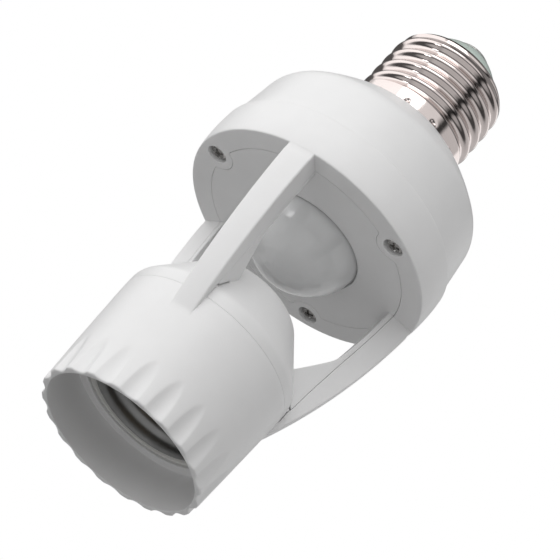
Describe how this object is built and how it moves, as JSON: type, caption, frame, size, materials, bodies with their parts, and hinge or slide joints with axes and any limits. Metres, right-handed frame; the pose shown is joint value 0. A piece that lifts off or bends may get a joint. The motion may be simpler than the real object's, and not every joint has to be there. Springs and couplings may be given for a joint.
{
  "type": "motion sensor lamp holder",
  "caption": "Screw-in lamp holder with a milky motion-sensor lens between a domed housing and a fluted lamp mouth, joined by slim arms, and a threaded plug on top.",
  "frame": {"origin": "centre of the lamp mouth's rim plane, at the object's base", "axes": "+Z from the lamp mouth along the axis to the tip of the plug; +X through one of the three arms"},
  "size_m": [0.0566, 0.0566, 0.1197],
  "materials": {
    "white_shell": "satin moulded white plastic",
    "white_frame": "satin moulded white plastic",
    "white_cap": "satin moulded white plastic",
    "dark_steel": "dark zinc-plated steel",
    "milky_lens": "milky translucent polyethylene",
    "black_plastic": "black moulded plastic",
    "board": "green solder mask",
    "bright_steel": "zinc-plated steel",
    "can_metal": "nickel-plated can",
    "sensor_face": "clear-coated ceramic",
    "relay_blue": "blue moulded case",
    "capacitor_yellow": "yellow moulded case",
    "sleeve_dark": "shrink sleeve",
    "component_black": "black epoxy",
    "resistor_blue": "lacquered body",
    "nickel": "bright nickel-plated sheet",
    "insulator": "pale glazed insulator",
    "wire_red": "insulated wire",
    "wire_blue": "insulated wire",
    "carrier": "glazed heat-proof moulding",
    "socket_metal": "nickel-plated sheet",
    "bronze": "phosphor bronze strip"
  },
  "bodies": {
    "holder": {"outer_cage": "white_shell", "inner_frame": "white_frame", "rear_cap": "white_cap", "housing_screws": "dark_steel", "lens": "milky_lens", "lens_retainer": "black_plastic", "circuit_board": "board", "board_screws": "bright_steel", "infrared_detector": "can_metal", "daylight_sensor": "sensor_face", "relay": "relay_blue", "film_capacitor": "capacitor_yellow", "electrolytic_capacitor": "sleeve_dark", "rectifier_diodes": "component_black", "fusible_resistor": "resistor_blue", "control_chip": "component_black", "plug_shell": "nickel", "plug_insulator": "insulator", "plug_contact": "nickel", "plug_lead": "wire_red", "shell_lead": "wire_blue", "socket_carrier": "carrier", "carrier_screws": "bright_steel", "socket_shell": "socket_metal", "shell_tab": "bronze", "contact_foot": "bronze", "contact_rivets": "bright_steel", "neutral_wire": "wire_blue", "switched_wire": "wire_red"},
    "contact_spring": {"centre_contact": "bronze"}
  },
  "joints": [
    {"name": "contact_flex", "type": "hinge", "parent": "holder", "child": "contact_spring", "pos_m": [-0.0052, 0, 0.0268], "axis": [0, -1, 0], "range_deg": [0, 10], "stiffness_Nm_per_rad": 0.02, "springref_deg": -5.73}
  ]
}
